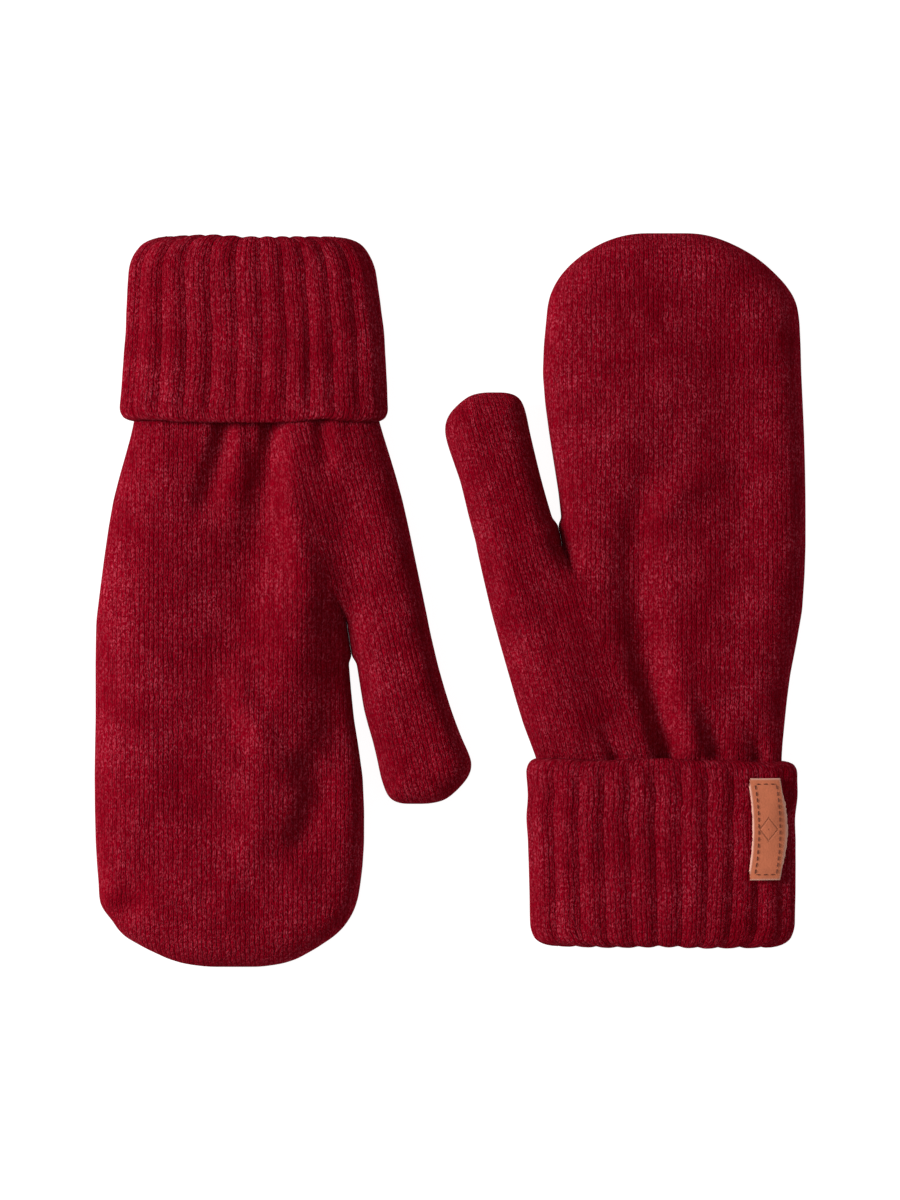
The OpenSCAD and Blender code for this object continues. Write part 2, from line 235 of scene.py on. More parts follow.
class MittenSettings(bpy.types.PropertyGroup):
    """Everything a user would change."""

    knit: PointerProperty(type=KnitSettings)
    rib: PointerProperty(type=RibSettings)
    label: PointerProperty(type=LabelSettings)
    stage: PointerProperty(type=StageSettings)


# ---------------------------------------------------------------- reading the frame


def levels(node, turn):
    """Rows of (y, low x, high x, low z, high z, z of the side edge) in mm, one for each ring of a CAD node."""
    co = np.array([v.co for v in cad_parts[node].data.vertices]) / MM
    co[:, :2] *= turn
    key = np.round(co[:, 1], 1)
    rows = []
    for y in np.unique(key):
        ring = co[key == y]
        low, high = ring[ring[:, 0].argmin()], ring[ring[:, 0].argmax()]
        z = ring[:, 2]
        rows.append((ring[:, 1].mean(), low[0], high[0], z.min(), z.max(), (low[2] + high[2]) / 2))
    return np.array(rows)


def run_along(x, y):
    """Length of a curve up to each of its points."""
    return np.concatenate([[0], np.cumsum(np.hypot(np.diff(x), np.diff(y)))])


def smoothed(points, sigma=1.3, step=0.7):
    """A polyline resampled evenly and rounded off, with its ends kept."""
    points = np.array(points, float)
    along = run_along(*points.T)
    count = int(along[-1] / step) + 1
    even = np.stack([np.interp(np.linspace(0, along[-1], count), along, points[:, k]) for k in range(2)], 1)
    reach = int(4 * sigma / step)
    padded = np.concatenate([2 * even[0] - even[reach:0:-1], even, 2 * even[-1] - even[-2:-reach - 2:-1]])
    weight = np.exp(-0.5 * (np.arange(-reach, reach + 1) * step / sigma) ** 2)
    weight /= weight.sum()
    return np.stack([np.convolve(padded[:, k], weight, "valid") for k in range(2)], 1)


class Line:
    """A polyline that gives, for any points, the distance to it and the way to its nearest point."""

    def __init__(self, points):
        self.a, self.b = points[:-1], points[1:]

    def near(self, x, y):
        flat = np.stack([np.ravel(x), np.ravel(y)], 1)
        best, way = np.full(len(flat), 1e9), np.zeros((len(flat), 2))
        run = self.b - self.a
        size = (run**2).sum(1)
        for start in range(0, len(flat), 4000):
            p = flat[start:start + 4000, None, :]
            t = np.clip(((p - self.a) * run).sum(2) / size, 0, 1)
            gap = self.a + t[..., None] * run - p
            dist = np.linalg.norm(gap, axis=2)
            i = dist.argmin(1)
            k = np.arange(len(i))
            best[start:start + 4000] = dist[k, i]
            way[start:start + 4000] = gap[k, i] / np.maximum(dist[k, i], 1e-6)[:, None]
        return best.reshape(np.shape(x)), way[:, 0].reshape(np.shape(x)), way[:, 1].reshape(np.shape(x))


def lattice_noise(x, y, seed):
    """Smooth noise from -1 to 1 with a period of about one."""
    table = np.random.default_rng(seed).uniform(-1, 1, (64, 64))
    i, j = np.floor(x).astype(int), np.floor(y).astype(int)
    u, v = x - i, y - j
    u, v = u * u * (3 - 2 * u), v * v * (3 - 2 * v)
    a, b = table[i % 64, j % 64], table[(i + 1) % 64, j % 64]
    c, d = table[i % 64, (j + 1) % 64], table[(i + 1) % 64, (j + 1) % 64]
    return (a * (1 - u) + b * u) * (1 - v) + (c * (1 - u) + d * u) * v


def round_off(t, power=2.3):
    """From 0 at an edge to 1 where the flat top begins."""
    return (1 - (1 - np.clip(t, 0, 1)) ** power) ** (1 / power)


def ease(t):
    t = np.clip(t, 0, 1)
    return t * t * (3 - 2 * t)


def stroke(points, x, y):
    """Depth of one fold at each point."""
    best = np.zeros(np.shape(x))
    rows = np.array(points, float)
    for a, b in zip(rows[:-1], rows[1:]):
        run = b[:2] - a[:2]
        t = np.clip(((x - a[0]) * run[0] + (y - a[1]) * run[1]) / (run @ run), 0, 1)
        gap = np.hypot(x - a[0] - t * run[0], y - a[1] - t * run[1])
        value = (a[2] + t * (b[2] - a[2])) * np.exp(-((gap / (a[3] + t * (b[3] - a[3]))) ** 2))
        best = np.where(np.abs(value) > np.abs(best), value, best)
    return best


class Hand:
    """The outline and the upper and lower surface of one mitten's hand, read from its CAD nodes, in mm."""

    def __init__(self, side):
        s = bpy.context.scene.mittens.knit
        self.side, self.turn = side, TURN[side]
        palm, fingers, thumb = (levels(f"{side}_{part}", self.turn) for part in ("palm", "fingers", "thumb"))
        self.crotch = (palm[-1, 0] + fingers[0, 0]) / 2
        self.crotch_x = (thumb[0, 2] + fingers[0, 1]) / 2
        self.wrist = palm[0, 0]
        self.cuff_edge = levels(f"{side}_cuff", self.turn)[-1, 0]
        hand = np.concatenate([palm[:, [2, 0]], fingers[:, [2, 0]], fingers[::-1][:, [1, 0]]])
        small = np.concatenate([palm[:, [1, 0]], thumb[:, [1, 0]], thumb[::-1][:, [2, 0]]])
        hand, small = smoothed(hand), smoothed(small)
        i, j = hand[:, 1].argmax(), small[:, 1].argmax()
        # Fingers and thumb lie against each other for a way above the crotch
        near, far = small[j:], hand[i:]
        was_near, was_far = near[::-1].copy(), far[::-1].copy()
        for line, other, clear in ((near, was_far, -0.006), (far, was_near, 0.006)):
            middle = (line[:, 0] + np.interp(line[:, 1], other[:, 1], other[:, 0])) / 2
            share = ease((self.crotch + TOUCH[side] + 2 - line[:, 1]) / 4)
            line[:, 0] += (middle - line[:, 0] + clear) * share
        self.hand_line, self.thumb_line = Line(hand), Line(small)
        self.outer, self.inner = hand[:i + 1], hand[i:][::-1]
        self.thumb_outer, self.thumb_inner = small[:j + 1], small[j:][::-1]
        self.outer_line, self.thumb_outer_line = Line(self.outer), Line(self.thumb_outer)
        self.tip, self.thumb_tip = self.outer[-1, 1], self.thumb_outer[-1, 1]
        self.rows = {"palm": palm, "fingers": fingers[fingers[:, 0] < self.tip - ROUNDED["fingers"]],
                     "thumb": thumb[thumb[:, 0] < self.thumb_tip - ROUNDED["thumb"]]}
        self.r_hand, self.r_thumb = s.edge_round / MM, s.thumb_round / MM
        self.lean = math.atan2(small[0, 0] - self.thumb_outer[self.row_of(self.thumb_outer, self.crotch), 0],
                               self.crotch - small[0, 1])
        # How much the palm's flat top sinks beside the crotch, where fingers and thumb part
        self.off = np.linspace(-SINK_REACH, SINK_REACH, 209)
        x, y = self.crotch_x + self.off, np.full(self.off.shape, self.crotch)
        whole = self.palm_fullness(x, y)
        part = np.where(self.off < 0, round_off(self.thumb_line.near(x, y)[0] / self.r_thumb),
                        round_off(self.hand_line.near(x, y)[0] / self.r_hand))
        self.sink = np.clip(part / np.maximum(whole, 1e-3), 0, 1)

    @staticmethod
    def row_of(line, y):
        return int(np.abs(line[:, 1] - y).argmin())

    def gusset(self, y):
        """Where the thumb's slanting stitches meet the hand's upright ones."""
        return self.crotch_x + (self.crotch - y) * GUSSET_SLOPE

    def ends(self, part, y):
        """Low and high x of a part at y."""
        low = {"palm": self.thumb_outer, "fingers": self.inner, "thumb": self.thumb_outer}[part]
        high = {"palm": self.outer, "fingers": self.outer, "thumb": self.thumb_inner}[part]
        return np.interp(y, low[:, 1], low[:, 0]), np.interp(y, high[:, 1], high[:, 0])

    def palm_fullness(self, x, y):
        """From 0 at the palm's two sides to 1 on its flat top."""
        share = ease((y - self.wrist) / (self.crotch - self.wrist))
        left = self.thumb_outer_line.near(x, y)[0] / (self.r_hand + (self.r_thumb - self.r_hand) * share)
        right = self.outer_line.near(x, y)[0] / self.r_hand
        return np.minimum(round_off(left), round_off(right))

    def fullness(self, part, x, y):
        """From 0 at a part's outline to 1 on its flat top."""
        if part == "fingers":
            return round_off(self.hand_line.near(x, y)[0] / self.r_hand)
        if part == "thumb":
            return round_off(self.thumb_line.near(x, y)[0] / self.r_thumb)
        sunk = np.interp(x - self.gusset(y), self.off, self.sink)
        near = ease((y - self.crotch + SINK_FALL) / SINK_FALL) ** 1.4
        return self.palm_fullness(x, y) * (1 + (sunk - 1) * near)

    def heights(self, part, y):
        """z of the CAD's lower face, upper face and side edge at y."""
        rows = self.rows[part]
        return [np.interp(y, rows[:, 0], rows[:, k]) for k in (3, 4, 5)]

    def folds(self, x, y):
        """How far the upper face lies below the smooth shape."""
        depth = sum(stroke(f, x, y) for f in FOLDS[self.side])
        near_cuff = np.exp(-np.maximum(y - self.cuff_edge + 1, 0) / GATHER_REACH)
        seed = FOLD_SEED[self.side]
        gathers = 0.5 + 0.5 * lattice_noise(x / GATHER_SIZE[0], y / GATHER_SIZE[1], seed)
        swell = lattice_noise(x / BROAD[0], y / BROAD[1], seed + 1)
        swell = swell + 0.35 * lattice_noise(x / SMALL[0], y / SMALL[1], seed + 2)
        return depth + GATHER_DEPTH * gathers**1.5 * near_cuff + SWELL_DEPTH * swell + 0.3

    def surface(self, part, x, y, upper):
        """z of the upper or the lower face."""
        low, high, edge = self.heights(part, y)
        full = self.fullness(part, x, y)
        if upper:
            return edge + (high - edge) * full - self.folds(x, y) * full
        swell = 0.5 + 0.5 * lattice_noise(x / 15, y / 19, UNDER_SEED)
        return edge - (edge - low) * np.clip(full * 1.06, 0, 1) + 0.35 * swell * full

    def stitch_place(self, x, y, slanted):
        """Wale and course numbers of each point, upright or slanted along the thumb."""
        s = bpy.context.scene.mittens.knit
        x, y = x - self.crotch_x, y - self.crotch
        c, d = (math.cos(self.lean), math.sin(self.lean)) if slanted else (1, 0)
        return (x * c + y * d) / (s.wale / MM), (-x * d + y * c) / (s.course / MM)


# ---------------------------------------------------------------- mesh helpers


def new_object(name, verts, faces):
    """A mesh object at the origin; its points are given in mm."""
    mesh = bpy.data.meshes.new(name)
    mesh.from_pydata((np.asarray(verts) * MM).tolist(), [], np.asarray(faces).tolist())
    ob = bpy.data.objects.new(name, mesh)
    bpy.context.scene.collection.objects.link(ob)
    return ob


def quads(rows, columns, closed_rows=False, closed_columns=False):
    """Faces between the points of a grid; a closed way runs on to its first points."""
    i = np.arange(rows - 1 + closed_rows)[:, None]
    j = np.arange(columns - 1 + closed_columns)[None, :]
    a, b = (i + 1) % rows, (j + 1) % columns
    return np.stack([i * columns + j, i * columns + b, a * columns + b, a * columns + j], 2).reshape(-1, 4)


def write_uv(ob, uv, name="Stitches"):
    """A map from one pair of numbers for each face corner."""
    layer = ob.data.uv_layers.new(name=name)
    layer.data.foreach_set("uv", np.asarray(uv, np.float32).ravel())


def write_values(ob, name, values, kind="FLOAT", field="value"):
    """A named attribute with one value for each point."""
    attribute = ob.data.attributes.new(name, kind, "POINT")
    attribute.data.foreach_set(field, np.asarray(values, np.float32).ravel())


def smooth(ob):
    ob.data.polygons.foreach_set("use_smooth", np.ones(len(ob.data.polygons), bool))


def tidy(ob, merge=True, close=1e-6):
    """Merges doubled points and turns every face outwards."""
    bm = bmesh.new()
    bm.from_mesh(ob.data)
    if merge:
        bmesh.ops.remove_doubles(bm, verts=bm.verts, dist=close)
        bmesh.ops.dissolve_degenerate(bm, edges=bm.edges, dist=close)
    bmesh.ops.recalc_face_normals(bm, faces=bm.faces)
    bm.to_mesh(ob.data)
    bm.free()
    smooth(ob)


def baked(ob):
    """Replaces the object's mesh by its evaluated one and drops its modifiers."""
    evaluated = ob.evaluated_get(bpy.context.evaluated_depsgraph_get())
    mesh = bpy.data.meshes.new_from_object(evaluated)
    mesh.name = ob.name
    ob.modifiers.clear()
    ob.data = mesh
    return ob


def thicken(ob, wall):
    """Gives a skin its wall, inwards."""
    mod = ob.modifiers.new("Wall", "SOLIDIFY")
    mod.thickness, mod.offset, mod.use_rim, mod.use_even_offset = wall, -1, True, False
    baked(ob)
    ob.data.set_sharp_from_angle(angle=math.radians(62))
    return ob


def spread(x, z, count):
    """count + 1 points at even steps along the curve x, z."""
    along = run_along(x, z)
    return np.interp(np.linspace(0, along[-1], count + 1), along, x)


def row_places(hand, part, step):
    """y of each row of the mesh."""
    if part == "palm":
        return np.linspace(hand.wrist, hand.crotch, int((hand.crotch - hand.wrist) / step) + 1)
    top = hand.tip if part == "fingers" else hand.thumb_tip
    even = np.linspace(hand.crotch, top - TIP_START, int((top - hand.crotch) / step) + 1)
    return np.concatenate([even, top - TIP_ROWS])


def face_points(hand, part, rows, counts, upper):
    """Points of the upper or the lower face, spread evenly along the curve of each row."""
    low, high = hand.ends(part, rows)
    stops = [low, high] if part != "palm" else [low, np.clip(hand.gusset(rows), low + 8, high - 8), high]
    x = np.zeros((len(rows), sum(counts) + 1))
    grid = (1 - np.cos(np.linspace(0, math.pi, 150))) / 2
    start = 0
    for a, b, count in zip(stops[:-1], stops[1:], counts):
        fine = a[:, None] + (b - a)[:, None] * grid
        z = hand.surface(part, fine, np.broadcast_to(rows[:, None], fine.shape), upper)
        for r in range(len(rows)):
            x[r, start:start + count + 1] = spread(fine[r], z[r], count)
        start += count
    y = np.broadcast_to(rows[:, None], x.shape)
    z = hand.surface(part, x, y, upper)
    return np.stack([x, y, z if upper else np.maximum(z, CLEAR)], 2)


def stitch_places(hand, part, flat):
    """The upright and the slanted stitch place of each point, with the rounded sides unrolled outwards."""
    if part == "palm":
        a, ax, ay = hand.thumb_outer_line.near(*flat.T)
        b, bx, by = hand.outer_line.near(*flat.T)
        first = a < b
        gap, wx, wy = np.where(first, a, b), np.where(first, ax, bx), np.where(first, ay, by)
    else:
        gap, wx, wy = (hand.hand_line if part == "fingers" else hand.thumb_line).near(*flat.T)
    reach = hand.r_thumb if part == "thumb" else hand.r_hand
    t = np.linspace(0, 1, 400) ** 2
    bend = run_along(t * reach, round_off(t) * SIDE_RISE)
    extra = np.interp(gap / reach, t, (bend[-1] - bend) - (1 - t) * reach)
    return [np.stack(hand.stitch_place(flat[:, 0] + wx * extra, flat[:, 1] + wy * extra, lean), 1)
            for lean in (False, True)]


def knit_skin(hand, part):
    """The knit of a palm, a finger pouch or a thumb: rows across the hand, each one a closed ring."""
    s = bpy.context.scene.mittens.knit
    step = s.cell / MM
    rows = row_places(hand, part, step)
    width = np.ptp(hand.ends(part, hand.crotch))
    counts = [int(width * POUCH_SLACK / step)]
    if part == "palm":
        share = (hand.crotch_x - hand.ends(part, hand.crotch)[0]) / width
        counts = [int(width * part_of * slack / step)
                  for part_of, slack in ((share, THUMB_SIDE_SLACK), (1 - share, FINGER_SIDE_SLACK))]
    across = sum(counts)
    top, under = (face_points(hand, part, rows, counts, upper) for upper in (True, False))
    ring = np.concatenate([top, under[:, -2:0:-1]], 1)
    ring[..., :2] *= hand.turn
    faces = quads(*ring.shape[:2], closed_columns=True)
    ob = new_object(f"{hand.side}_{part}_knit", ring.reshape(-1, 3), faces)
    upright, leaning = stitch_places(hand, part, ring.reshape(-1, 3)[:, :2] * hand.turn)
    column = faces[:, 0] % ring.shape[1]
    slanted = np.full(len(faces), part == "thumb")
    if part == "palm":
        slanted = (column < counts[0]) | (column >= 2 * across - counts[0])
    uv = np.where(slanted[:, None, None], leaning[faces], upright[faces])
    uv[column >= across, :, 0] += UNDER_SHIFT
    write_uv(ob, uv)
    tidy(ob)
    return thicken(ob, s.wall)


# ---------------------------------------------------------------- node helpers


def fill(tree, node, inputs):
    """Links or sets a node's inputs, by name or number."""
    for key, value in inputs.items():
        socket = node.inputs[key]
        if isinstance(value, bpy.types.NodeSocket):
            tree.links.new(value, socket)
        elif socket.type == "RGBA" and len(value) == 3:
            socket.default_value = (*value, 1)
        else:
            socket.default_value = value
    return node


def add_node(tree, kind, inputs, **settings):
    """A new node with its settings and its inputs."""
    node = tree.nodes.new(kind)
    for name, value in settings.items():
        setattr(node, name, value)
    return fill(tree, node, inputs)


def math_node(tree, op, *values, clamp=False):
    """A Math node; numbers are set and sockets are linked."""
    return add_node(tree, "ShaderNodeMath", dict(enumerate(values)), operation=op, use_clamp=clamp).outputs[0]


def maths(tree):
    """math_node for one tree: m = maths(tree), then m("ADD", a, b)."""
    return lambda op, *values, **options: math_node(tree, op, *values, **options)


def mix_colour(tree, factor, a, b):
    """Colour a where the factor is 0 and b where it is 1."""
    return add_node(tree, "ShaderNodeMix", {"Factor": factor, 6: a, 7: b}, data_type="RGBA").outputs[2]


def noise_node(tree, vector, scale, detail=2.0, rough=0.5):
    """Cloudy noise around 0.5."""
    inputs = {"Vector": vector, "Scale": scale, "Detail": detail, "Roughness": rough}
    return add_node(tree, "ShaderNodeTexNoise", inputs).outputs[0]


def stretch(tree, value, low, high):
    """Maps low..high to 0..1, clamped."""
    inputs = {"Value": value, "From Min": low, "From Max": high}
    return add_node(tree, "ShaderNodeMapRange", inputs).outputs["Result"]


def separate(tree, vector):
    """The x, y and z of a vector."""
    return add_node(tree, "ShaderNodeSeparateXYZ", {0: vector}).outputs


def combine(tree, *values):
    """A vector from its first parts; the others are 0."""
    return add_node(tree, "ShaderNodeCombineXYZ", dict(enumerate(values))).outputs[0]


def new_group(name, inputs, outputs):
    """An empty shader group; inputs and outputs are (name, socket type, default)."""
    group = bpy.data.node_groups.new(name, "ShaderNodeTree")
    for way, sockets in (("INPUT", inputs), ("OUTPUT", outputs)):
        for label, kind, default in sockets:
            socket = group.interface.new_socket(label, in_out=way, socket_type=kind)
            if default is not None:
                socket.default_value = default
    return group, group.nodes.new("NodeGroupInput").outputs, group.nodes.new("NodeGroupOutput")


def stitch_group():
    """Plain knit: each stitch is a V of two plump yarn legs. Gives its height, a value for each leg and the
    place along the legs' fibres."""
    if "Knit stitches" in bpy.data.node_groups:
        return bpy.data.node_groups["Knit stitches"]
    g, i, o = new_group(
        "Knit stitches",
        [("Place", "NodeSocketVector", None), ("Lean", "NodeSocketFloat", 1.3),
         ("Unevenness", "NodeSocketFloat", 0.8)],
        [("Height", "NodeSocketFloat", None), ("Own value", "NodeSocketFloat", None),
         ("Fibre", "NodeSocketVector", None)])
    m = maths(g)
    shift, lift = (m("MULTIPLY", m("SUBTRACT", noise_node(g, i["Place"], scale, 1.0), 0.5), i["Unevenness"])
                   for scale in (0.42, 0.9))
    part = separate(g, i["Place"])
    u, v = m("ADD", part[0], shift), m("ADD", part[1], m("MULTIPLY", lift, 2.5))
    side = m("ABSOLUTE", m("SUBTRACT", m("SUBTRACT", u, m("FLOOR", u)), 0.5))
    risen = m("SUBTRACT", v, m("MULTIPLY", side, i["Lean"]))
    row = m("FLOOR", risen)
    # The gap between two wales is deep in some places and bridged by loose fibres in others
    broken = stretch(g, noise_node(g, i["Place"], 1.1, 2.0), 0.3, 0.62)
    gap = m("MULTIPLY", m("POWER", m("MULTIPLY", side, 2.0), 2.6), m("MULTIPLY_ADD", broken, 0.55, 0.45))
    ridge = m("SUBTRACT", 1.0, gap, clamp=True)
    # Each leg is plump half way along, and a faint dip parts it from the other leg of its V
    belly = m("POWER", m("SINE", m("MULTIPLY", m("SUBTRACT", risen, row), math.pi)), 0.6)
    dip = m("SUBTRACT", 1.0, stretch(g, side, 0.11, 0.02))
    leg = m("MULTIPLY", m("MULTIPLY_ADD", belly, 0.68, 0.32), m("MULTIPLY_ADD", dip, 0.35, 0.65))
    leg_place = combine(g, m("FLOOR", m("MULTIPLY", u, 2.0)), row)
    own = add_node(g, "ShaderNodeTexWhiteNoise", {"Vector": leg_place})
    fibre = combine(g, m("MULTIPLY", u, 1.5), m("MULTIPLY", risen, 2.1))
    fill(g, o, {"Height": m("MULTIPLY", ridge, leg), "Own value": own.outputs["Value"], "Fibre": fibre})
    return g


def wool_group():
    """Loose wool fibres: fine flecks along the yarn, which also serve as a painted sheen, streaks along the
    wales, a soft mottling and the fuzz.
    """
    if "Wool fibres" in bpy.data.node_groups:
        return bpy.data.node_groups["Wool fibres"]
    g, i, o = new_group(
        "Wool fibres",
        [(name, "NodeSocketVector", None) for name in ("Place", "Fibre", "Point")],
        [(name, "NodeSocketFloat", None) for name in ("Fleck", "Streak", "Mottle", "Fuzz")])
    m = maths(g)
    along, tangled = noise_node(g, i["Fibre"], 0.9, 2.0, 0.65), noise_node(g, i["Point"], 1100, 2.0, 0.6)
    fleck = m("ADD", m("MULTIPLY", along, 0.55), m("MULTIPLY", tangled, 0.45))
    long = add_node(g, "ShaderNodeMapping", {"Vector": i["Place"], "Scale": (0.75, 0.14, 1)}).outputs[0]
    fill(g, o, {
        "Fleck": stretch(g, fleck, 0.465, 0.615),
        "Streak": stretch(g, noise_node(g, long, 1.0, 3.0, 0.6), 0.3, 0.7),
        "Mottle": stretch(g, noise_node(g, i["Point"], 60, 3.0, 0.55), 0.3, 0.7),
        "Fuzz": noise_node(g, i["Point"], 1500, 2.0, 0.6),
    })
    return g


def placed(tree, group, **links):
    """Puts a shader group into a tree with its inputs linked, and gives its outputs."""
    return add_node(tree, "ShaderNodeGroup", links, node_tree=group).outputs


def blank_material(name):
    """A new material with its node tree and its Principled shader."""
    mat = bpy.data.materials.new(name)
    mat.use_nodes = True
    tree = mat.node_tree
    return mat, tree, tree.nodes["Principled BSDF"]


def shaded(colour, value):
    """A colour made darker or lighter, at most 1."""
    return [min(c * value, 1) for c in colour]


def object_point(tree):
    return tree.nodes.new("ShaderNodeTexCoord").outputs["Object"]


def uv_place(tree, name):
    return add_node(tree, "ShaderNodeUVMap", {}, uv_map=name).outputs[0]


def bump(tree, shader, height, distance, strength=1.0):
    """Raises the surface by a height from 0 to 1 times the distance."""
    node = add_node(tree, "ShaderNodeBump", {"Distance": distance, "Strength": strength, "Height": height})
    fill(tree, shader, {"Normal": node.outputs[0]})


def knit_material(name, brighter=1.0):
    """Crimson wool knit: V stitches, painted shade in the gaps, paler fibre flecks that are partly a painted
    sheen on the raised legs, and a soft sheen.
    """
    if name in bpy.data.materials:
        return bpy.data.materials[name]
    s = bpy.context.scene.mittens.knit
    mat, tree, shader = blank_material(name)
    m = maths(tree)
    place = uv_place(tree, "Stitches")
    stitch = placed(tree, stitch_group(), Place=place)
    wool = placed(tree, wool_group(), Place=place, Fibre=stitch["Fibre"], Point=object_point(tree))
    tone = m("ADD", m("MULTIPLY", stitch["Own value"], 0.45), m("MULTIPLY", wool["Streak"], 0.55))
    yarn = mix_colour(tree, tone, shaded(s.body, 0.78 * brighter), shaded(s.body, 1.22 * brighter))
    # Partly real, partly painted: the yarn's own paler fibre flecks, strengthened into a painted sheen on the
    # raised legs.
    lit = m("MULTIPLY", wool["Fleck"], stretch(tree, m("ADD", wool["Streak"], wool["Mottle"]), 0.0, 1.5))
    lit = m("MULTIPLY", lit, m("MULTIPLY_ADD", stitch["Height"], 0.95, 0.15))
    yarn = mix_colour(tree, m("MULTIPLY", lit, 0.85), yarn, s.fleck)
    # Painted shade: the gaps between the stitches are darkened towards the shade colour by the stitch height.
    raised = m("MULTIPLY_ADD", stretch(tree, stitch["Height"], 0.0, 0.7), 0.48, 0.52)
    colour = mix_colour(tree, raised, s.shade, yarn)
    colour = mix_colour(tree, m("MULTIPLY_ADD", wool["Mottle"], -0.28, 0.28), colour, s.shade)
    fill(tree, shader, {
        "Base Color": colour,
        "Roughness": m("MULTIPLY_ADD", wool["Fuzz"], 0.15, 0.8),
        "Specular IOR Level": 0.0,
        "Sheen Weight": 0.012,
        "Sheen Roughness": 0.6,
        "Sheen Tint": (1.0, 0.35, 0.42),
    })
    height = m("MULTIPLY_ADD", wool["Fuzz"], 0.3, stitch["Height"])
    bump(tree, shader, m("MULTIPLY_ADD", wool["Fleck"], 0.2, height), s.relief)
    return mat


def finish_piece(ob, material, slot, *nodes):
    """Gives a piece its material and hides the CAD nodes it stands for; the slot is not used."""
    ob.data.materials.clear()
    ob.data.materials.append(material)
    if nodes:
        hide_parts(*nodes)
    return ob


# ---------------------------------------------------------------- operators


class MITTENS_OT_palms(bpy.types.Operator):
    """Knit the palm of each hand, from the wrist to the thumb crotch"""

    bl_idname = "mittens.palms"
    bl_label = "Palms"

    def execute(self, context):
        for side in TURN:
            ob = knit_skin(Hand(side), "palm")
            finish_piece(ob, knit_material("Plain knit"), "plain_knit", f"{side}_palm")
            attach(ob, f"{side}_hand")
        return {"FINISHED"}


class MITTENS_OT_pouches(bpy.types.Operator):
    """Knit each finger pouch and thumb"""

    bl_idname = "mittens.pouches"
    bl_label = "Finger pouches and thumbs"

    def execute(self, context):
        for side, turn in TURN.items():
            hand = Hand(side)
            for part, body, reach in (("fingers", "finger_pouch", 52), ("thumb", "thumb_pouch", 36)):
                ob = knit_skin(hand, part)
                finish_piece(ob, knit_material("Plain knit"), "plain_knit", f"{side}_{part}")
                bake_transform(ob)
        return {"FINISHED"}


def geometry_tree(name, *numbers):
    """A Geometry Nodes tree with named numbers and a material as inputs."""
    tree = bpy.data.node_groups.new(name, "GeometryNodeTree")
    tree.is_modifier = True
    for label in ("Geometry", *numbers, "Material"):
        kind = label if label in ("Geometry", "Material") else "Float"
        tree.interface.new_socket(label, in_out="INPUT", socket_type=f"NodeSocket{kind}")
    tree.interface.new_socket("Geometry", in_out="OUTPUT", socket_type="NodeSocketGeometry")
    return tree, tree.nodes.new("NodeGroupInput").outputs


def named(tree, label, kind="FLOAT"):
    """A named attribute inside a Geometry Nodes tree."""
    node = add_node(tree, "GeometryNodeInputNamedAttribute", {"Name": label}, data_type=kind)
    return node.outputs["Attribute"]


def end_tree(tree, geometry, material):
    """Makes instances real, gives them the material and ends the tree."""
    real = add_node(tree, "GeometryNodeRealizeInstances", {0: geometry})
    paint = add_node(tree, "GeometryNodeSetMaterial", {"Geometry": real.outputs[0], "Material": material})
    add_node(tree, "NodeGroupOutput", {"Geometry": paint.outputs[0]})
    return tree


def rib_tree():
    """Sinks the grooves between the ribs into a cuff, along its normals."""
    tree, given = geometry_tree("Rib grooves", "Depth", "Groove width")
    m = maths(tree)
    turn = named(tree, "rib_turn")
    # A narrow groove at each whole turn, on a broad wave from rib to rib
    off = m("SUBTRACT", 0.5, m("ABSOLUTE", m("SUBTRACT", m("FRACT", turn), 0.5)))
    near = m("POWER", m("DIVIDE", off, given["Groove width"]), 2.0)
    groove = m("MULTIPLY", m("POWER", math.e, m("MULTIPLY", near, -1.0)), 0.42)
    wave = m("COSINE", m("MULTIPLY", turn, 2 * math.pi))
    groove = m("ADD", groove, m("MULTIPLY_ADD", wave, 0.29, 0.29))
    sunk = m("MULTIPLY", m("MULTIPLY", groove, named(tree, "rib_hold")), m("MULTIPLY", given["Depth"], -1.0))
    normal = tree.nodes.new("GeometryNodeInputNormal").outputs[0]
    along = add_node(tree, "ShaderNodeVectorMath", {}, operation="SCALE")
    fill(tree, along, {0: normal, "Scale": sunk})
    inputs = {"Geometry": given["Geometry"], "Offset": along.outputs[0]}
    move = add_node(tree, "GeometryNodeSetPosition", inputs)
    return end_tree(tree, move.outputs[0], given["Material"])


def run_tree(ob, tree, **values):
    """Runs a Geometry Nodes tree with named inputs and keeps the result as a plain mesh."""
    mod = ob.modifiers.new(tree.name, "NODES")
    mod.node_group = tree
    for item in tree.interface.items_tree:
        key = item.name.replace(" ", "_").lower()
        if item.item_type == "SOCKET" and item.in_out == "INPUT" and key in values:
            mod[item.identifier] = values[key]
    ob.update_tag()
    bpy.context.view_layer.update()
    return baked(ob)


def cuff_path(fold, edge, join, wall, gap):
    """A cuff's wall in section, from the palm's edge through the fold to the free edge, and back between the
    layers: rows of (y, step out from the inner skin, share of the ribs' depth)."""
    out, inner = 2 * wall + gap, wall + gap
    bend, lip = out / 2, wall / 2
    path = [(y, 0.0, MOUTH_HOLD) for y in np.arange(join, fold + bend + 3, -MOUTH_STEP)]
    path += [(fold + bend - bend * math.sin(a), bend - bend * math.cos(a), FOLD_HOLD)
             for a in np.linspace(0, math.pi, 13)]
    path += [(y, out, 1.0) for y in np.arange(fold + bend + SHOW_STEP, edge - lip - 0.3, SHOW_STEP)]
    path += [(edge - lip + lip * math.sin(a), out - lip + lip * math.cos(a), EDGE_HOLD)
             for a in np.linspace(0, math.pi, 9)]
    path += [(y, inner, 0.0) for y in np.arange(edge - wall - 2, fold + wall + 2, -HIDDEN_STEP)]
    path += [(fold + wall + 1.2, inner, 0.0), (fold + wall + 1.2, wall, 0.0)]
    path += [(y, wall, 0.0) for y in np.arange(fold + wall + 5, join - 1, HIDDEN_STEP)] + [(join, wall, 0.0)]
    return np.array(path)


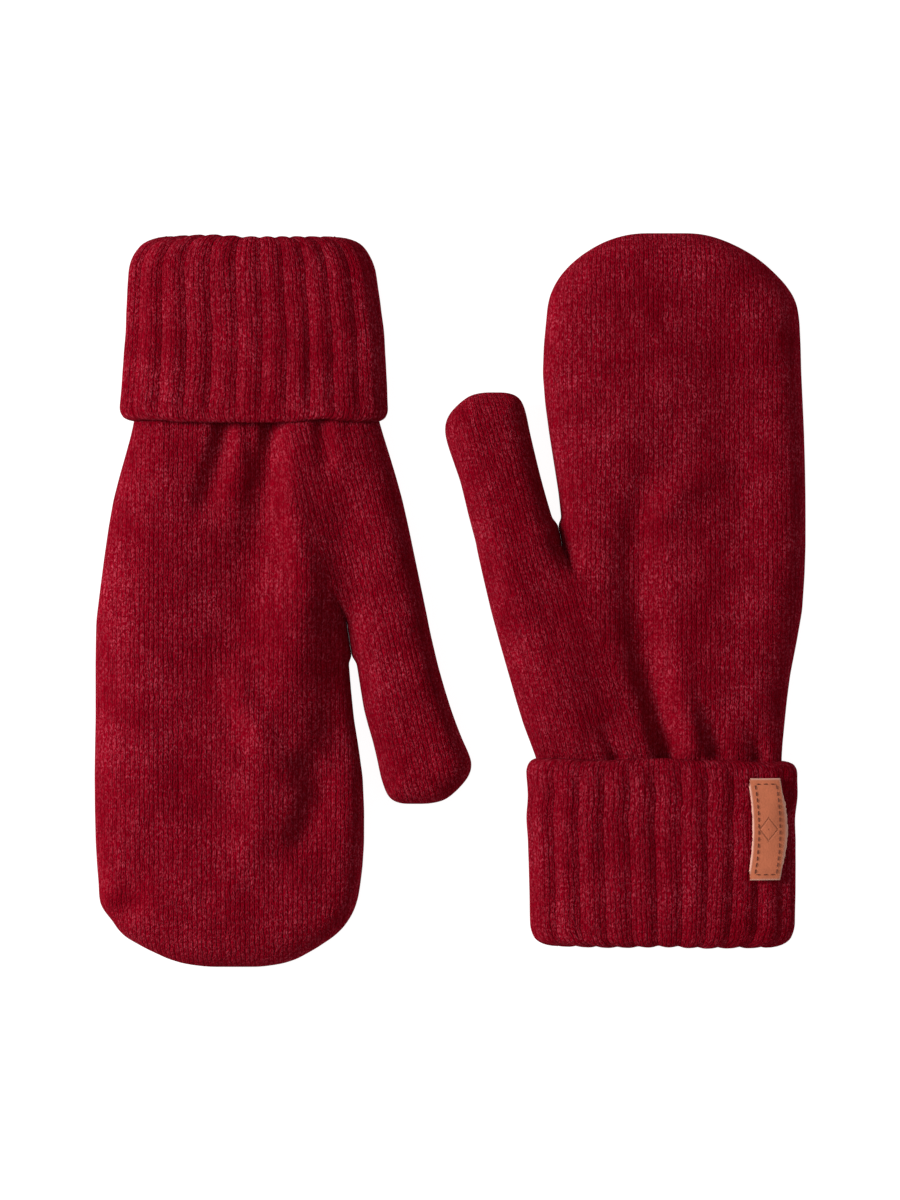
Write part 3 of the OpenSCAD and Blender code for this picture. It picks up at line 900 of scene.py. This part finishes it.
def oblong(angle):
    """Points from -1 to 1 on a rounded oblong, by the angle round it."""
    return (np.sign(f) * np.abs(f) ** (2 / 3) for f in (np.cos(angle), np.sin(angle)))


def corner_cut(radius, away):
    """How far a round corner draws in, by the distance from the end it's on."""
    near = np.clip(radius - away, 0, radius)
    return radius - np.sqrt(radius**2 - near**2)


def cuff_tube(side):
    """One cuff as a closed tube: a rounded oblong ring at each point of its path."""
    s, k = bpy.context.scene.mittens.rib, bpy.context.scene.mittens.knit
    rows = levels(f"{side}_cuff", TURN[side])
    fold, edge = rows[0, 0], rows[-1, 0]
    # The rings at the cuff's full width, without the rounded ends
    wide = rows[rows[:, 2] - rows[:, 1] > 0.93 * np.ptp(rows[:, 1:3])]
    centre, high = (wide[:, 1] + wide[:, 2]).mean() / 2, rows[:, 4].max() / 2
    half_widths = (wide[:, 2] - wide[:, 1]) / 2
    low_half, top_half = (np.interp(y, wide[:, 0], half_widths) for y in (fold + 12, edge - 4))
    wall, gap = s.wall / MM, s.gap / MM
    path = cuff_path(fold, edge, levels(f"{side}_palm", TURN[side])[0, 0] + 0.15, wall, gap)
    y, inset, hold = path[:, :1], path[:, 1:2] - (2 * wall + gap), path[:, 2:]
    # Points spread evenly round the ring
    angle = np.linspace(0, 2 * math.pi, 2401)
    cx, cz = oblong(angle)
    run = run_along(cx * (low_half + top_half) / 2, cz * high)
    cx, cz = oblong(np.interp(np.linspace(0, run[-1], AROUND, endpoint=False), run, angle))
    ribs = round(run[-1] / (s.pitch / MM))
    turn = np.linspace(0, ribs, AROUND, endpoint=False)
    # Half the width, drawn in at the fold and at the corners
    half = low_half + (top_half - low_half) * np.clip((y - fold) / (edge - fold), 0, 1)
    half = half - np.where(cx < 0, *SHOULDER[side]) * np.exp(-(y - fold) / SHOULDER_REACH)
    half = half - 0.72 * corner_cut(CORNER[side], y - fold) - 0.85 * corner_cut(EDGE_CORNER, edge - y)
    # Unevenness: wandering ribs, swells, a sway from side to side, a wavy free edge and a wavy fold
    seed = CUFF_SEED[side]
    phase = turn + 0.12 * lattice_noise(turn / 3.1, y / 44, seed)
    swell = 0.7 * lattice_noise(cx * 3.1, y / 22 + 9, seed + 1)
    sway = 0.35 * lattice_noise(4, y / 9, seed + 2)
    lift = 0.9 * lattice_noise(cx * half / 13, 3, seed + 3) * ease((y - edge + 12) / 12)
    fall = 0.45 * lattice_noise(cx * half / 19, 7, seed + 4) * ease((fold + 9 - y) / 9)
    x = centre + cx * (half + inset) + sway
    z = high + cz * (high + inset) - np.clip(cz, 0, 1) * (0.5 + swell) * (hold > MOUTH_HOLD)
    ring = np.stack([x * TURN[side], (y + lift + fall) * TURN[side], np.maximum(z, CLEAR)], 2)
    n, m = ring.shape[:2]
    ob = new_object(f"{side}_cuff_rib", ring.reshape(-1, 3), quads(n, m, True, True))
    # The ribs are shallower where they're pressed against the floor and towards the free edge
    pressed = np.clip((z - 0.6) / 2.5, 0.25, 1) * (1 - 0.7 * ease((y - edge + 9) / 7.5))
    write_values(ob, "rib_turn", phase)
    write_values(ob, "rib_hold", hold * (1 + 0.25 * lattice_noise(turn, y / 30, seed + 5)) * pressed)
    course = run_along(*np.concatenate([path, path[:1]])[:, :2].T) / (k.course / MM)
    wales = np.concatenate([phase, phase[:, :1] + ribs], 1) * s.wales
    wales = np.concatenate([wales, wales[:1]])
    place = np.stack([wales, np.broadcast_to(-course[:, None], wales.shape)], 2)
    write_uv(ob, place.reshape(-1, 2)[quads(n + 1, m + 1)])
    tidy(ob, merge=False)
    return ob


class MITTENS_OT_cuffs(bpy.types.Operator):
    """Make each cuff as one rib tube turned back over itself"""

    bl_idname = "mittens.cuffs"
    bl_label = "Turned-up cuffs"

    def execute(self, context):
        tree, wool = rib_tree(), knit_material("Rib knit", RIB_TONE)
        for side in TURN:
            ob = cuff_tube(side)
            run_tree(ob, tree, depth=context.scene.mittens.rib.depth, groove_width=GROOVE_WIDTH, material=wool)
            finish_piece(ob, wool, "rib_knit", f"{side}_cuff")
            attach(ob, f"{side}_hand")
        return {"FINISHED"}


def leather_material():
    """Tan leather with a fine grain, a little wear and a small debossed diamond."""
    s = bpy.context.scene.mittens.label
    mat, tree, shader = blank_material("Label leather")
    m, point = maths(tree), object_point(tree)
    part = separate(tree, uv_place(tree, "Leather"))
    grain = add_node(tree, "ShaderNodeTexVoronoi", {}, feature="SMOOTH_F1")
    fill(tree, grain, {"Vector": point, "Scale": 1500})
    cloud = stretch(tree, noise_node(tree, point, 90, 3.0, 0.6), 0.35, 0.7)
    fine = stretch(tree, noise_node(tree, point, 900, 3.0, 0.6), 0.55, 0.8)
    # The diamond's outline and the dot at its centre
    ring = m("ADD", m("MULTIPLY", m("ABSOLUTE", part[0]), DIAMOND_SHAPE), m("ABSOLUTE", part[1]))
    away = m("MINIMUM", m("ABSOLUTE", m("SUBTRACT", ring, DIAMOND)), ring)
    mark = m("SUBTRACT", 1.0, stretch(tree, away, 0.25, 0.6))
    colour = mix_colour(tree, cloud, shaded(s.leather, 0.88), shaded(s.leather, 1.1))
    colour = mix_colour(tree, m("MULTIPLY", fine, 0.35), colour, shaded(s.leather, 0.5))
    colour = mix_colour(tree, m("MULTIPLY", mark, 0.45), colour, shaded(s.leather, 0.45))
    # Partly real, partly painted: a pale band along the rounded rim of the upper face, in the raw edge's colour,
    # is the leather's paler cut edge and a painted highlight.
    rim = add_node(tree, "ShaderNodeAttribute", {}, attribute_name="rim").outputs[2]
    fill(tree, shader, {
        "Base Color": mix_colour(tree, rim, colour, s.raw_edge), "Roughness": 0.62, "Specular IOR Level": 0.3})
    height = m("MULTIPLY_ADD", grain.outputs["Distance"], -0.35, m("MULTIPLY", mark, -1.0))
    bump(tree, shader, height, 0.2 * MM, 0.8)
    return mat


def plain_material(name, colour, rough, scale, depth):
    """A matt colour with fine unevenness."""
    mat, tree, shader = blank_material(name)
    grain = noise_node(tree, object_point(tree), scale, 3.0, 0.6)
    tone = mix_colour(tree, grain, shaded(colour, 0.7), shaded(colour, 1.3))
    fill(tree, shader, {"Base Color": tone, "Roughness": rough})
    bump(tree, shader, grain, depth)
    return mat


class LabelShape:
    """The label's upper face: points by the distance across and along it, in mm."""

    def __init__(self):
        co = np.array([v.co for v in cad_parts["right_label"].data.vertices]) / MM
        low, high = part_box("right_cuff")
        middle, half = (np.array(low) + high) / 2 / MM, (np.array(high) - low) / 2 / MM
        xz = np.unique(np.round(co[:, [0, 2]], 2), axis=0)
        size = (np.abs(xz[:, 0] - middle[0]) / half[0]) ** 3 + (np.abs(xz[:, 1] - middle[2]) / half[2]) ** 3
        face = xz[size > (size.min() + size.max()) / 2]
        self.face = face[face[:, 0].argsort()]
        self.along = run_along(*self.face.T)
        self.width, self.y0, self.y1 = self.along[-1] * 0.9, co[:, 1].min() + 0.9, co[:, 1].max() - 0.1
        self.thick = np.linalg.norm(xz[xz[:, 0].argmin()] - self.face[0]) * 0.85

    def arc(self, across):
        """x and z of the shoulder that the label lies on."""
        return np.array([np.interp(across, self.along, self.face[:, k]) for k in (0, 1)])

    def at(self, across, y, off=0.0):
        """The point at across mm from the inner edge; the whole label leans outwards at its middle."""
        bow = bpy.context.scene.mittens.label.bow / MM
        t = (y - self.y0) / (self.y1 - self.y0)
        across = across + bow * (1 - (2 * t - 1) ** 2) - bow * 0.4
        x, z = self.arc(across)
        dx, dz = self.arc(across + 0.3) - self.arc(across - 0.3)
        # Past either end of the shoulder the label goes straight on
        first, last = self.face[1] - self.face[0], self.face[-1] - self.face[-2]
        for way, over in ((first, np.minimum(across, 0)), (last, np.maximum(across - self.width, 0))):
            x, z = x + over * way[0] / np.hypot(*way), z + over * way[1] / np.hypot(*way)
        size = np.hypot(dx, dz)
        off = off - 0.35 + 0.15 * lattice_noise(across / 9, y / 9, LABEL_SEED)
        return np.stack([x - dz / size * off, y + 0 * x, z + dx / size * off], -1)


def rimmed(length, count):
    """Places from 0 to a length, closer together in the rounded rim at each end."""
    start = np.array([0, 0.08, RIM])
    return np.concatenate([start, np.linspace(RIM, length - RIM, count)[1:-1], length - start[::-1]])


class MITTENS_OT_label(bpy.types.Operator):
    """Cut the leather label and lay it over the outer shoulder of the right cuff"""

    bl_idname = "mittens.label"
    bl_label = "Leather label"

    def execute(self, context):
        s = context.scene.mittens.label
        shape = LabelShape()
        length = shape.y1 - shape.y0
        u, v = np.meshgrid(rimmed(shape.width, LABEL_MESH[0]), rimmed(length, LABEL_MESH[1]) + shape.y0)
        edge = np.minimum.reduce([u, shape.width - u, v - shape.y0, shape.y1 - v])
        soft = RIM - np.sqrt(np.maximum(RIM**2 - np.clip(RIM - edge, 0, RIM) ** 2, 0))
        ruff = 0.12 * lattice_noise(u * 1.3, v * 1.3, RUFF_SEED) * (edge < 0.01)
        points = np.concatenate([shape.at(u + ruff, v, off).reshape(-1, 3) for off in (-soft, -shape.thick)])
        n, m = u.shape
        face = quads(n, m)
        loop = np.concatenate([np.arange(m - 1), np.arange(n - 1) * m + m - 1, n * m - 1 - np.arange(m - 1),
                               (n - 1 - np.arange(n - 1)) * m])
        after = np.roll(loop, -1)
        sides = np.stack([loop, loop + n * m, after + n * m, after], 1)
        faces = np.concatenate([face, face[:, ::-1] + n * m, sides])
        ob = new_object("right_leather_label", points, faces)
        flat = np.stack([(u - shape.width / 2).ravel(), (v - (shape.y0 + shape.y1) / 2).ravel()], 1)
        # The under face's map lies 60 mm away, clear of the diamond
        write_uv(ob, np.concatenate([flat, flat + 60])[faces], "Leather")
        # The pale band along the rim is partly the leather's paler cut edge and partly a painted highlight.
        pale_edge_and_highlight = (1 - ease((edge - 0.25) / 0.5)).ravel()
        write_values(ob, "rim", np.concatenate([pale_edge_and_highlight, pale_edge_and_highlight]))
        tidy(ob)
        ob.data.set_sharp_from_angle(angle=math.radians(50))
        finish_piece(ob, leather_material(), "label_leather", "right_label")
        ob.data.materials.append(plain_material("Raw leather edge", s.raw_edge, 0.9, 1800, 0.1 * MM))
        raw = np.zeros(len(ob.data.polygons), np.int32)
        raw[2 * len(face):] = 1
        ob.data.polygons.foreach_set("material_index", raw)
        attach(ob, "right_hand")
        return {"FINISHED"}


def stitch_tree():
    """Lays one stitch of thread on each point; the point's turn attribute holds its rotation."""
    tree, given = geometry_tree("Running stitch", "Length", "Thickness")
    ball = add_node(tree, "GeometryNodeMeshUVSphere", {"Segments": 8, "Rings": 7, "Radius": 0.5})
    many = add_node(tree, "GeometryNodeInstanceOnPoints", {
        "Points": given["Geometry"], "Instance": ball.outputs["Mesh"],
        "Rotation": named(tree, "turn", "FLOAT_VECTOR"),
        "Scale": combine(tree, given["Length"], given["Thickness"], given["Thickness"])})
    return end_tree(tree, many.outputs[0], given["Material"])


class MITTENS_OT_stitches(bpy.types.Operator):
    """Sew a running stitch round the label's edge"""

    bl_idname = "mittens.stitches"
    bl_label = "Label stitching"

    def execute(self, context):
        s = context.scene.mittens.label
        shape = LabelShape()
        inset, space = s.inset / MM, s.space / MM
        corners = np.array([(inset, shape.y0 + inset), (inset, shape.y1 - inset),
                            (shape.width - inset, shape.y1 - inset), (shape.width - inset, shape.y0 + inset)])
        places, turns = [], []
        for a, b in zip(corners, np.roll(corners, -1, axis=0)):
            count = round(np.linalg.norm(b - a) / space)
            way = (b - a) / np.linalg.norm(b - a) * 0.5
            for t in (np.arange(count) + 0.5) / count:
                p = a + (b - a) * t
                here = shape.at(*p, THREAD_LIFT)
                run = shape.at(*(p + way), THREAD_LIFT) - shape.at(*(p - way), THREAD_LIFT)
                places.append(here)
                turns.append(self.turned(run, shape.at(*p, THREAD_LIFT + 1) - here))
        ob = new_object("right_label_thread", places, [])
        write_values(ob, "turn", turns, "FLOAT_VECTOR", "vector")
        thread = plain_material("Sewing thread", s.thread_colour, 0.75, 2500, 0.1 * MM)
        run_tree(ob, stitch_tree(), length=s.stitch, thickness=s.thread, material=thread)
        smooth(ob)
        finish_piece(ob, thread, "sewing_thread", "right_label_stitching")
        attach(ob, "right_hand")
        return {"FINISHED"}

    @staticmethod
    def turned(run, up):
        """The rotation that lays a stitch along its run, on the leather."""
        x, z = Vector(run).normalized(), Vector(up).normalized()
        y = z.cross(x).normalized()
        return Matrix((x, y, x.cross(y))).transposed().to_euler()


class MITTENS_OT_closing_yarns(bpy.types.Operator):
    """Give the yarn inside each tip its twist"""

    bl_idname = "mittens.closing_yarns"
    bl_label = "Closing yarns"

    def execute(self, context):
        s = context.scene.mittens.knit
        mat, tree, shader = blank_material("Closing yarn")
        inputs = {"Vector": object_point(tree), "Scale": 260, "Distortion": 1.5}
        wave = add_node(tree, "ShaderNodeTexWave", inputs, bands_direction="DIAGONAL").outputs[1]
        # The twist's darker bands are painted shade in the grooves between the plies, in the knit's shade
        # colour.
        fill(tree, shader, {"Base Color": mix_colour(tree, wave, s.shade, s.body), "Roughness": 0.9})
        bump(tree, shader, wave, 0.3 * MM)
        for side in TURN:
            for part in ("finger", "thumb"):
                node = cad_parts[f"{side}_{part}_closing_yarn"]
                node.data.materials.clear()
                node.data.materials.append(mat)
        return {"FINISHED"}


class MITTENS_OT_stage(bpy.types.Operator):
    """Set the floor, the lights and the camera"""

    bl_idname = "mittens.stage"
    bl_label = "Stage"

    def execute(self, context):
        s = context.scene.mittens.stage
        far = FLOOR_REACH / MM
        corners = [(-far, -far, -FLOOR), (far, -far, -FLOOR), (far, far, -FLOOR), (-far, far, -FLOOR)]
        floor = new_object("floor", corners, [(0, 1, 2, 3)])
        mat, tree, shader = blank_material("floor")
        fill(tree, shader, {"Base Color": s.floor, "Roughness": 0.9, "Specular IOR Level": 0.1,
                            "Emission Color": (1, 1, 1), "Emission Strength": FLOOR_GLOW})
        floor.data.materials.append(mat)
        for name, place, size, power in (
            ("key", (-1.6, 0.3, 0.95), 0.7, s.key),
            ("fill", (0.2, -0.1, 2.2), 1.8, s.fill),
        ):
            light = bpy.data.lights.new(name, "AREA")
            light.size, light.energy = size, power
            lamp = bpy.data.objects.new(name, light)
            lamp.location = place
            lamp.rotation_euler = (-Vector(place)).to_track_quat("-Z", "Y").to_euler()
            context.scene.collection.objects.link(lamp)
        world = bpy.data.worlds.new("studio")
        world.use_nodes = True
        fill(world.node_tree, world.node_tree.nodes["Background"], {"Color": (1, 1, 1), "Strength": SKY})
        context.scene.world = world
        context.scene.view_settings.view_transform = "Standard"
        cam = bpy.data.objects.new("camera", bpy.data.cameras.new("camera"))
        middle = (CAD_LOW + CAD_HIGH) / 2
        cam.location = (middle.x, middle.y, s.height)
        cam.data.lens = cam.data.sensor_width * (s.height - middle.z) / s.seen
        context.scene.collection.objects.link(cam)
        context.scene.camera = cam
        return {"FINISHED"}


class MITTENS_PT_panel(bpy.types.Panel):
    """Lists the settings and the steps"""

    bl_label = "Mittens"
    bl_idname = "MITTENS_PT_panel"
    bl_space_type = "VIEW_3D"
    bl_region_type = "UI"
    bl_category = "Mittens"

    def draw(self, context):
        settings = context.scene.mittens
        for group in (settings.knit, settings.rib, settings.label, settings.stage):
            box = self.layout.box()
            for name in group.__annotations__:
                box.prop(group, name)
        for step in STEPS:
            self.layout.operator(step.bl_idname)


STEPS = [MITTENS_OT_palms, MITTENS_OT_pouches, MITTENS_OT_cuffs, MITTENS_OT_label, MITTENS_OT_stitches,
         MITTENS_OT_closing_yarns, MITTENS_OT_stage]
CLASSES = [KnitSettings, RibSettings, LabelSettings, StageSettings, MittenSettings, *STEPS, MITTENS_PT_panel]


def register():
    for cls in CLASSES:
        bpy.utils.register_class(cls)
    bpy.types.Scene.mittens = PointerProperty(type=MittenSettings)


def unregister():
    del bpy.types.Scene.mittens
    for cls in reversed(CLASSES):
        bpy.utils.unregister_class(cls)


def main():
    register()
    for step in STEPS:
        area, name = step.bl_idname.split(".")
        getattr(getattr(bpy.ops, area), name)()


if __name__ == "__main__":
    main()
